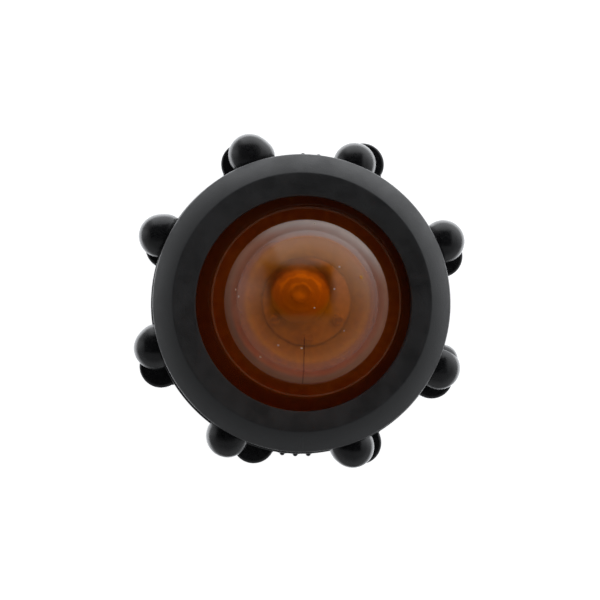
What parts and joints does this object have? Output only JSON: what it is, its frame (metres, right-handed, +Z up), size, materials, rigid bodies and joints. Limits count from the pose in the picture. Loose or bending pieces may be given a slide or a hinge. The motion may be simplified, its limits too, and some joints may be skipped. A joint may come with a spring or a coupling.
{
  "type": "raised pavement marker",
  "caption": "Round lit road marker: amber dome lens in a black bezel, held by a knobbed twist-lock collar on a grouted base cup.",
  "frame": {"origin": "middle of the flat underside of the base cup, on the marker's axis", "axes": "+Z up along the marker's axis towards the dome; +X and +Y across the marker, +Y away from the on/off button"},
  "size_m": [0.0949, 0.0958, 0.0495],
  "materials": {
    "nylon_black": "black glass-filled nylon, satin",
    "rubber_black": "black moulded rubber, satin",
    "lens_amber": "cast amber glass, polished outside",
    "seal_rubber": "dull black seal rubber",
    "acetal_white": "natural acetal",
    "optic_clear": "clear polished acrylic",
    "emitter_yellow": "silicone dome over phosphor",
    "board_white": "white solder mask on an aluminium core",
    "board_green": "green solder mask",
    "dish_silver": "spun, bright",
    "carrier_grey": "moulded, satin",
    "chip_black": "moulded epoxy",
    "cell_sleeve": "shrink sleeve over steel",
    "contact_steel": "nickel-plated spring steel",
    "screw_steel": "stainless",
    "standoff_brass": "turned",
    "lead_red": "insulated wire",
    "lead_black": "insulated wire",
    "button_red": "moulded, satin",
    "pack_paper": "spun-bonded sachet"
  },
  "bodies": {
    "base": {"base_cup": "nylon_black", "lens": "lens_amber", "lens_gasket": "seal_rubber", "slip_ring": "acetal_white", "optic": "optic_clear", "led_emitter": "emitter_yellow", "led_board": "board_white", "led_board_screw_1": "screw_steel", "led_board_screw_2": "screw_steel", "dusk_sensor": "chip_black", "reflector": "dish_silver", "lamp_carrier": "carrier_grey", "driver_board": "board_green", "standoff_1": "standoff_brass", "standoff_2": "standoff_brass", "standoff_3": "standoff_brass", "board_screw_1": "screw_steel", "board_screw_2": "screw_steel", "board_screw_3": "screw_steel", "capacitor": "chip_black", "inductor": "chip_black", "controller_chip": "chip_black", "lead_connector": "acetal_white", "lamp_lead_red": "lead_red", "lamp_lead_black": "lead_black", "cell_cradle": "acetal_white", "cell": "cell_sleeve", "contact_plate": "contact_steel", "contact_spring": "contact_steel", "button_seal": "seal_rubber", "switch": "chip_black", "desiccant_pack": "pack_paper"},
    "collar": {"locking_collar": "nylon_black", "bezel": "rubber_black"},
    "button": {"power_button": "button_red"}
  },
  "joints": [
    {"name": "collar_turn", "type": "hinge", "parent": "base", "child": "collar", "pos_m": [0, 0, 0.028], "axis": [0, 0, 1], "range_deg": [0, 45]},
    {"name": "button_press", "type": "slide", "parent": "base", "child": "button", "axis": [0, 0, 1], "range_m": [0, 0.0012], "stiffness_N_per_m": 900, "springref_m": -0.0004}
  ]
}
